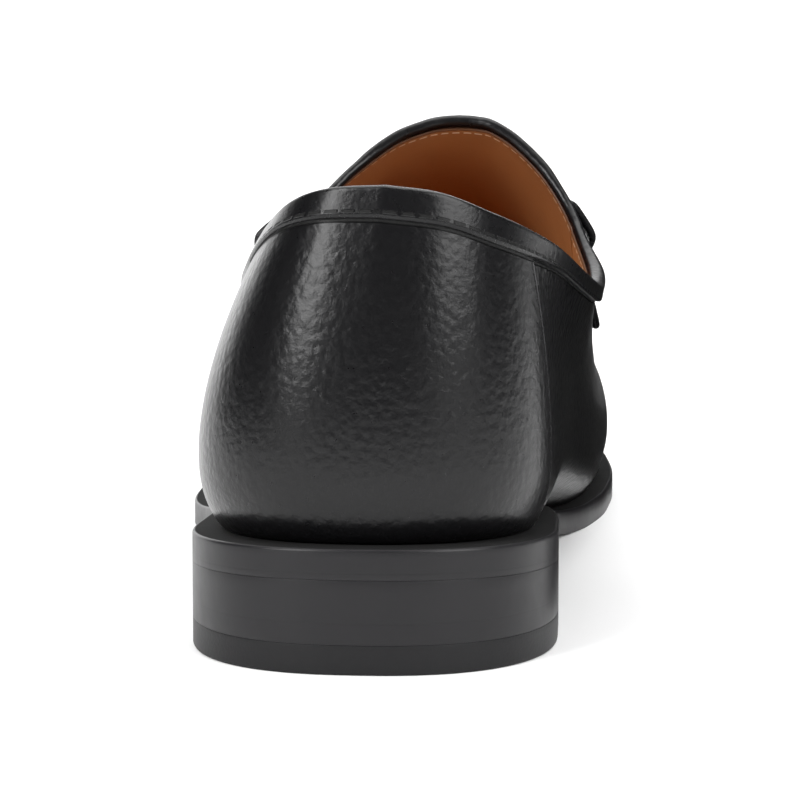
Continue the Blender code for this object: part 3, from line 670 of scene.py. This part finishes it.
# Ribs all round, denser at the two sides of the counter's front edge, and the rows of each rib. The rim rises
# by a share of the wall, the ridge by a share of the CAD's, and the creases fade in between the two heights.
upper = {
    "heelRibs": 44,
    "sideRibs": 78,
    "toeRibs": 42,
    "skirtRows": 14,
    "sideRows": 30,
    "ridgeRows": 9,
    "topRows": 26,
    "bandSteps": (-0.0004, -0.0001, 0.0001, 0.0003, 0.0006),
    "bandRows": 11,
    "rimRows": 7,
    "rimRise": 0.45,
    "leather": 0.0012,
    "turnedIn": 0.0024,
    "counterEdge": 0.0025,
    "counterFall": 0.0015,
    "longestRib": 0.6,
    "bandFall": 0.0006,
    "ridgeShare": 0.75,
    "apronStep": 0.0003,
    "apronFall": (-0.4, 0.2),
    "creaseHeights": (0.030, 0.046),
    "creaseSway": 0.004,
    "creaseWaves": 90,
    "creases": (
        {"at": 0.198, "slope": 0.10, "depth": 0.00035, "width": 0.0042},
        {"at": 0.211, "slope": -0.06, "depth": 0.00050, "width": 0.0050},
        {"at": 0.224, "slope": 0.12, "depth": 0.00030, "width": 0.0040},
    ),
}


def upperRibs():
    heel, toe, edge = shape["crowdHeel"], shape["crowdToe"], upper["counterEdge"]
    return np.unique(np.concatenate([
        np.linspace(0, heel, upper["heelRibs"] + 1),
        np.linspace(heel, 1 - toe, upper["sideRibs"] + 1),
        np.linspace(1 - toe, 1, upper["toeRibs"] + 1),
        np.add.outer(shape["counterRibs"], [-edge, 0, edge]).ravel(),
    ]))


# Even places from start to end
def spread(start, end, steps):
    return start + (end - start) * np.linspace(0, 1, steps + 1)[None]


# Rows of each rib by length: skirt, side, seam ridge, top, band step and band, ending just under the edge
def upperSide(rib, side):
    fine = ribCurves(rib, side)
    steps = np.linalg.norm(np.diff(fine, axis=1), axis=2)
    length = np.concatenate([np.zeros((len(rib), 1)), np.cumsum(steps, axis=1)], axis=1)
    total = length[:, -1:]
    wide = length[:, skirtSteps - 1: skirtSteps]
    seam = wide + curveOf(rib, toplineRows, 6)[:, None] * (total - wide)
    low, high = seam - size["ridgeWidth"] / 2, seam + size["ridgeWidth"] / 2
    band = total - size["band"] + np.array([upper["bandSteps"]])
    edge = total - upper["rimRise"] * size["wall"]
    places = np.concatenate([
        spread(0, wide, upper["skirtRows"])[:, :-1],
        spread(wide, low, upper["sideRows"])[:, :-1],
        spread(low, high, upper["ridgeRows"])[:, :-1],
        spread(high, band[:, :1], upper["topRows"])[:, :-1],
        band,
        spread(band[:, -1:], edge, upper["bandRows"])[:, 1:],
    ], axis=1)
    points = np.stack([
        np.stack([np.interp(places[k], length[k], fine[k, :, axis]) for axis in range(3)], axis=1)
        for k in range(len(rib))
    ])
    return points, total - places, places - seam


def unit(vectors):
    return vectors / np.maximum(np.linalg.norm(vectors, axis=-1, keepdims=True), 1e-12)


# The mid surface's points and normals, and the values that the leather's look follows, each as ribs by rows
def upperSurface():
    rib = upperRibs()
    sides = [upperSide(rib, side) for side in (1, -1)]
    points, fromTop, toSeam = (loopOf(sides[0][k], sides[1][k]) for k in range(3))
    rows = points.shape[1]
    ribs = loopOf(rib, rib)
    innerEnd, outerEnd = shape["counterRibs"]
    counterEnd = loopOf(np.full(len(rib), innerEnd), np.full(len(rib), outerEnd))
    around = np.roll(points, -1, axis=0) - np.roll(points, 1, axis=0)
    normal = unit(np.cross(around, np.gradient(points, axis=1)))
    stride = np.linalg.norm(np.roll(points, -1, axis=0) - points, axis=2)
    roundTop = np.concatenate([[0], np.cumsum(stride[:, -1])[:-1]])
    ribStep = np.abs(np.roll(ribs, -1) - ribs)[:, None]
    ribLength = np.minimum(stride / np.maximum(ribStep, 1e-6), upper["longestRib"])
    bandShare = 1 - smoothStep(ribs, *shape["bandRibs"])
    seamShare = smoothStep(ribs, *shape["seamRibs"])
    return {
        "points": points,
        "normal": normal,
        "ribs": ribs,
        "counterEnd": counterEnd,
        "fromTop": fromTop,
        "toSeam": toSeam,
        "toCounter": (ribs - counterEnd)[:, None] * ribLength,
        "roundTop": np.repeat(roundTop[:, None], rows, axis=1),
        "bandShare": np.repeat(bandShare[:, None], rows, axis=1),
        "seamShare": np.repeat(seamShare[:, None], rows, axis=1),
    }


# A crease at a distance of away widths: 0.6 exp(-3 (|away| - 1.1)^2) - exp(-2.2 away^2), times its depth
def creaseRise(crease, x, y):
    sway = upper["creaseSway"] * np.sin(x * upper["creaseWaves"])
    away = (y - crease["at"] - crease["slope"] * x - sway) / crease["width"]
    return crease["depth"] * (0.6 * np.exp(-3 * (np.abs(away) - 1.1) ** 2) - np.exp(-2.2 * away**2))


# Height of the outside over the plain last: counter, collar band, apron ridge, apron step and soft creases
def outsideRise(surface):
    toSeam, fall = surface["toSeam"] / (size["ridgeWidth"] / 2), upper["counterFall"]
    ribs, end = surface["ribs"], surface["counterEnd"]
    counter = size["counterStep"] * (1 - smoothStep(ribs, end - fall, end + fall))[:, None]
    ridge = size["ridge"] * upper["ridgeShare"] * np.cos(np.clip(toSeam, -1, 1) * math.pi / 2) ** 2
    apron = upper["apronStep"] * smoothStep(toSeam, *upper["apronFall"])
    aboveBand = 1 - smoothStep(surface["fromTop"], size["band"] - upper["bandFall"], size["band"])
    onBand = surface["bandShare"] * aboveBand
    rise = counter * (1 - onBand) + (size["bandStep"] + size["counterStep"]) * onBand
    rise = rise + surface["seamShare"] * (ridge + apron)
    x, y, z = np.moveaxis(surface["points"], 2, 0)
    creases = sum(creaseRise(crease, x, y) for crease in upper["creases"])
    return rise + smoothStep(z, *upper["creaseHeights"]) * creases


# Half a turn over the collar's edge, from the outside to the turned-in face
def rimPoints(points, normal, rise):
    half = size["wall"] / 2
    turn = np.linspace(0, math.pi, upper["rimRows"] + 2)[1:-1]
    out = np.where(np.cos(turn) > 0, half + rise, half) * np.cos(turn)
    lift = size["wall"] * upper["rimRise"] * np.sin(turn)
    middle = points[:, -1] - normal[:, -1] * half
    up = unit(points[:, -1] - points[:, -4])
    return middle[:, None] + normal[:, None, -1] * out[:, :, None] + up[:, None] * lift[None, :, None]


# A value over the outside, the rim and the inside; off replaces it on the rim and inside, away from all seams
def shellValue(value, off=None):
    rim = np.repeat(value[:, -1:], upper["rimRows"], axis=1)
    shell = np.concatenate([value, rim, value[:, ::-1]], axis=1)
    if off is not None:
        shell[:, value.shape[1]:] = off
    return shell


def makeUpper():
    print("upper")
    surface = upperSurface()
    points, normal = surface["points"], surface["normal"]
    rise = outsideRise(surface)
    outside = points + normal * rise[:, :, None]
    outside[:, 0] = points[:, 0] + unit(normal[:, 0] * np.array([1, 1, 0])) * rise[:, :1]
    turnedIn = surface["fromTop"] < upper["turnedIn"]
    depth = np.where(turnedIn, size["wall"], upper["leather"])[:, :, None]
    inside = (points - normal * depth)[:, ::-1]
    inside[:, -1, 2] = outside[:, 0, 2]
    grid = np.concatenate([outside, rimPoints(points, normal, rise[:, -1:]), inside], axis=1)
    attributes = {
        "fromTop": shellValue(surface["fromTop"], -0.01),
        "toSeam": shellValue(surface["toSeam"]),
        "toCounter": shellValue(surface["toCounter"], -0.05),
        "roundTop": shellValue(surface["roundTop"]),
        "bandShare": shellValue(surface["bandShare"], 0),
        "seamShare": shellValue(surface["seamShare"], 0),
    }
    quads = gridQuads(*grid.shape[:2])
    leather = newPiece("upperLeather", place(grid), quads, calfMaterial("blackCalf", True), attributes)
    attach(leather, "root")
    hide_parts("upper")
    return surface


# A thin shell inside the leather, from the feather edge up to the lining's own edge
def makeLining(surface):
    print("lining")
    rows = int(np.argmax((surface["fromTop"] < lining["edge"]).all(axis=0)))
    points, normal = surface["points"][:, :rows], surface["normal"][:, :rows]
    outer = points - normal * (upper["leather"] + lining["gap"])
    inner = (points - normal * (size["wall"] + lining["past"]))[:, ::-1]
    shell = np.concatenate([outer, inner], axis=1)
    shell[:, 0, 2] = shell[:, -1, 2] = points[:, 0, 2]
    attributes = {}
    for key in ("fromTop", "roundTop"):
        value = surface[key][:, :rows]
        attributes[key] = np.concatenate([value, value[:, ::-1]], axis=1)
    quads = gridQuads(*shell.shape[:2])
    piece = newPiece("liningLeather", place(shell), quads, liningMaterial("tanLining", True), attributes)
    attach(piece, "root")


# A slab with the plan of a loop: the profile gives how far each ring is set in and its height
def slab(loop, profile, heights):
    rings = []
    for amount, share in profile:
        ring = insetLoop(loop, amount)
        low, high = heights(ring[:, 1])
        rings.append(np.column_stack([ring, low + (high - low) * share]))
    return np.stack(rings, axis=1)


# Quads that close a slab below and above, each strip from one side of the loop to the other
def stripQuads(count, rows):
    k = np.arange(count // 2)
    partner = (count - k) % count
    strips = np.stack([k, k + 1, (count - k - 1) % count, partner], axis=1) * rows
    return np.concatenate([strips, strips[:, ::-1] + rows - 1])


# Lower and upper edge rounding of each slab, and the counts and clearances of the sole's pieces
soleEdges = {
    "sole": (0.00006, 0.0006),
    "stack": (0.00006, 0.00006),
    "lift": (0.0005, 0.00006),
    "sock": (0.0004, 0.0003),
    "cornerRows": 5,
    "wallRows": 4,
    "soleRibs": 261,
    "heelRibs": 60,
    "breastPoints": 28,
    "sharpDegrees": 40,
    "joint": 0.00002,
    "sockThickness": 0.0024,
    "sockRoom": 0.0004,
}


# Rounded edge of a slab as (inset, share of height): a quarter turn below, the side, a quarter turn above
def edgeProfile(rounding, thickness):
    turn = np.linspace(0, math.pi / 2, soleEdges["cornerRows"])
    curve = np.stack([1 - np.sin(turn), (1 - np.cos(turn)) / thickness], axis=1)
    low, high = curve * rounding[0], curve[::-1] * rounding[1]
    high[:, 1] = 1 - high[:, 1]
    side = np.linspace(low[-1, 1], high[0, 1], soleEdges["wallRows"] + 2)[1:-1]
    return np.concatenate([low, np.stack([0 * side, side], axis=1), high])


def slabPiece(name, loop, rounding, heights, thickness, material, capStrips=True):
    grid = slab(loop, edgeProfile(rounding, thickness), heights)
    count, rows = grid.shape[:2]
    quads = gridQuads(count, rows, closed=False)
    low, _ = heights(grid[:, :, 1])
    edge = np.ones((count, rows))
    edge[:, 0] = edge[:, -1] = 0
    attributes = {"level": grid[:, :, 2] - low, "onEdge": edge}
    caps = ()
    if capStrips:
        quads = np.concatenate([quads, stripQuads(count, rows)])
    else:
        ends = np.arange(count) * rows
        caps = (ends, (ends + rows - 1)[::-1])
    piece = newPiece(name, place(grid), quads, material, attributes, caps)
    mesh = bmesh.new()
    mesh.from_mesh(piece.data)
    bmesh.ops.dissolve_degenerate(mesh, dist=1e-7, edges=mesh.edges)
    bmesh.ops.recalc_face_normals(mesh, faces=mesh.faces)
    mesh.to_mesh(piece.data)
    mesh.free()
    piece.data.set_sharp_from_angle(angle=math.radians(soleEdges["sharpDegrees"]))
    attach(piece, "root")
    return piece


# Plan of the heel: round the back, then the breast, hollowed by 4 breastHollow across (1 - across)
def heelLoop():
    fine = np.linspace(0, 1, 600)
    breastRib = np.interp(size["heelLength"] / size["length"], ribShare(fine), fine)
    rib = np.linspace(0, breastRib, soleEdges["heelRibs"])
    inner, outer = soleSide(rib, 1), soleSide(rib, -1)
    across = np.linspace(0, 1, soleEdges["breastPoints"] + 2)[1:-1]
    hollow = size["breastHollow"] * 4 * across * (1 - across)
    x = inner[-1, 0] + (outer[-1, 0] - inner[-1, 0]) * across
    return np.concatenate([inner, np.column_stack([x, size["heelLength"] - hollow]), outer[:0:-1]])


def makeSole():
    print("sole")
    rib = np.linspace(0, 1, soleEdges["soleRibs"])
    thickness = size["soleThickness"]
    material = soleMaterial("soleEdge", soleLook["soleLine"], thickness - soleLook["ledgeDrop"])
    sole = slabPiece("soleLeather", loopOf(soleSide(rib, 1), soleSide(rib, -1)), soleEdges["sole"],
                     lambda y: (underside(y), soleTop(y)), thickness, material)
    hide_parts("outsole")


def makeHeel():
    print("heel")
    joint, lift = soleEdges["joint"], size["lift"]
    height = size["heelHeight"] - lift
    material = soleMaterial("stackEdge", soleLook["stackLine"], height)
    stack = slabPiece("heelLeather", heelLoop(), soleEdges["stack"],
                      lambda y: (lift + joint + 0 * y, underside(y) - joint), height, material, False)
    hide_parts("heel_stack")
    top = slabPiece("heelLift", heelLoop(), soleEdges["lift"],
                    lambda y: (0 * y, lift + 0 * y), lift, rubberMaterial(), False)
    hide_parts("heel_top_lift")


def makeSock(surface):
    print("sock")
    inside = (surface["points"] - surface["normal"] * size["wall"])[:, 0, :2]
    gap, thickness = size["gap"], soleEdges["sockThickness"]
    sock = slabPiece("sock", insetLoop(inside, soleEdges["sockRoom"]), soleEdges["sock"],
                     lambda y: (soleTop(y) + gap, soleTop(y) + gap + thickness), thickness,
                     liningMaterial("sockLeather", False))
    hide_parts("insole")


# How the strap and the bit are merged and smoothed: distance, largest turns of a joined face, subdivisions
smoothing = {
    "merge": 1e-5,
    "faceTurn": 0.6,
    "cornerTurn": 0.8,
    "levels": 2,
}


# A piece that follows a CAD solid
def smoothCopy(name, node, material):
    print(name)
    piece = bpy.data.objects.new(name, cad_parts[node].data.copy())
    bpy.context.scene.collection.objects.link(piece)
    mesh = bmesh.new()
    mesh.from_mesh(piece.data)
    bmesh.ops.remove_doubles(mesh, verts=mesh.verts, dist=smoothing["merge"])
    bmesh.ops.join_triangles(mesh, faces=mesh.faces, angle_face_threshold=smoothing["faceTurn"],
                             angle_shape_threshold=smoothing["cornerTurn"])
    bmesh.ops.recalc_face_normals(mesh, faces=mesh.faces)
    mesh.to_mesh(piece.data)
    mesh.free()
    if "custom_normal" in piece.data.attributes:
        piece.data.attributes.remove(piece.data.attributes["custom_normal"])
    piece.data.shade_smooth()
    piece.data.materials.clear()
    piece.data.materials.append(material)
    rounding = piece.modifiers.new("round", "SUBSURF")
    rounding.levels = rounding.render_levels = smoothing["levels"]
    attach(piece, "root")
    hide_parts(node)
    return piece


def makeStrap():
    strap = smoothCopy("strapLeather", "strap", calfMaterial("strapCalf", False))


def makeBit():
    bit = smoothCopy("bitMetal", "bit", metalMaterial())


# A plain floor that reaches behind the camera and to both sides, and its rounded rise into a wall
studio = {
    "floor": (0.90, 0.90, 0.90, 1),
    "world": (0.03, 0.03, 0.03, 1),
    "wallAt": 1.1,
    "wallRound": 0.9,
    "wallTop": 3.0,
    "wallRows": 40,
    "behind": 5.0,
    "side": 4.0,
}


def makeFloor():
    print("floor")
    t = np.linspace(0, 1, studio["wallRows"])
    bend = studio["wallRound"] * np.stack([np.sin(t * math.pi / 2), 1 - np.cos(t * math.pi / 2)])
    y = np.concatenate([[-studio["behind"], 0], studio["wallAt"] + bend[0]])
    z = np.concatenate([[0, 0], bend[1]])
    y, z = np.append(y, y[-1]), np.append(z, studio["wallTop"])
    x = np.array([-studio["side"], studio["side"]])
    points = np.stack(np.broadcast_arrays(x[:, None], y[None], z[None]), axis=-1)
    g = Graph("paleFloor")
    g.set(baseColor=studio["floor"], roughness=1.0)
    g.specular(0.0)
    row = np.arange(len(y) - 1)
    quads = np.stack([row, row + len(y), row + len(y) + 1, row + 1], axis=1)
    mesh = bpy.data.meshes.new("floor")
    mesh.from_pydata(points.reshape(-1, 3).tolist(), [], quads.tolist())
    mesh.shade_smooth()
    mesh.materials.append(g.material)
    floor = bpy.data.objects.new("floor", mesh)
    bpy.context.scene.collection.objects.link(floor)


# A dark card beside the inner side that only the gloss sees: its foot's near and far edge across the shoe,
# where it starts and ends along the shoe, how far it is off the floor, and its height
darkCard = {
    "plan": (0.050, 0.062),
    "along": (-0.095, 0.26),
    "lift": 0.001,
    "height": 0.11,
    "colour": (0.006, 0.006, 0.006, 1),
}


def makeCard():
    print("dark card")
    near, far = darkCard["plan"]
    edge = ((near, darkCard["lift"]), (far, darkCard["lift"]), (far, darkCard["height"]))
    mesh = bpy.data.meshes.new("darkCard")
    points = [(x, y, z) for y in darkCard["along"] for x, z in edge]
    mesh.from_pydata(points, [], [(0, 1, 4, 3), (1, 2, 5, 4)])
    g = Graph("darkCard")
    g.set(baseColor=darkCard["colour"], roughness=1.0)
    mesh.materials.append(g.material)
    card = bpy.data.objects.new("darkCard", mesh)
    card.visible_camera = card.visible_diffuse = card.visible_shadow = False
    bpy.context.scene.collection.objects.link(card)


# Soft boxes: name, place, what they face, width, height, radiance
lights = (
    ("leftBand", (-0.92, -1.20, 0.90), (0, -0.12, 0.05), 0.55, 1.15, 12.0),
    ("rightBand", (1.15, -0.98, 0.90), (0, -0.12, 0.05), 1.00, 1.15, 6.5),
    ("leftRim", (-0.95, 1.25, 0.65), (0, 0.0, 0.05), 0.9, 1.2, 1.2),
    ("overhead", (-0.05, 0.85, 2.0), (-0.05, 0.85, 0.0), 3.0, 3.2, 2.25),
    ("wallWash", (-0.10, 0.2, 2.2), (-0.10, 2.0, 0.4), 2.0, 0.8, 3.0),
)


def makeLights():
    print("lights")
    for name, where, target, width, height, radiance in lights:
        data = bpy.data.lights.new(name, "AREA")
        data.shape = "RECTANGLE"
        data.size = width
        data.size_y = height
        data.energy = radiance * math.pi * width * height
        lamp = bpy.data.objects.new(name, data)
        lamp.location = where
        lamp.rotation_euler = (Vector(target) - Vector(where)).to_track_quat("-Z", "Y").to_euler()
        bpy.context.scene.collection.objects.link(lamp)
    world = bpy.data.worlds.new("studio")
    world.use_nodes = True
    world.node_tree.nodes["Background"].inputs["Color"].default_value = studio["world"]
    bpy.context.scene.world = world
    bpy.context.scene.view_settings.view_transform = "Standard"


# The photo's camera stands 470 mm behind the heel, 44 mm to its inner side and 99.5 mm up, looking along +Y.
# Here it turns to the one shoe, from the same place, with a longer lens. The rest is in the photo's pixels:
# its width, the focal length, the point straight ahead and the middle of the shoe.
camera = {
    "place": (0.044, -0.470, 0.0995),
    "photoWidth": 800,
    "photoFocal": 1645.0,
    "photoAxis": (385.0, 365.0),
    "shoeMiddle": (256.0, 548.0),
    "enlarge": 1.72,
    "nearest": 0.01,
}


def makeCamera():
    print("camera")
    data = bpy.data.cameras.new("camera")
    data.lens = camera["photoFocal"] * camera["enlarge"] * data.sensor_width / camera["photoWidth"]
    data.clip_start = camera["nearest"]
    eye = bpy.data.objects.new("camera", data)
    eye.location = place(np.array(camera["place"]))
    across = (camera["shoeMiddle"][0] - camera["photoAxis"][0]) / camera["photoFocal"]
    down = (camera["shoeMiddle"][1] - camera["photoAxis"][1]) / camera["photoFocal"]
    eye.rotation_euler = Vector((across, 1.0, -down)).to_track_quat("-Z", "Y").to_euler()
    bpy.context.scene.collection.objects.link(eye)
    bpy.context.scene.camera = eye


lastSurface = makeUpper()
makeLining(lastSurface)
makeSole()
makeHeel()
makeSock(lastSurface)
makeStrap()
makeBit()
makeFloor()
makeCard()
makeLights()
makeCamera()
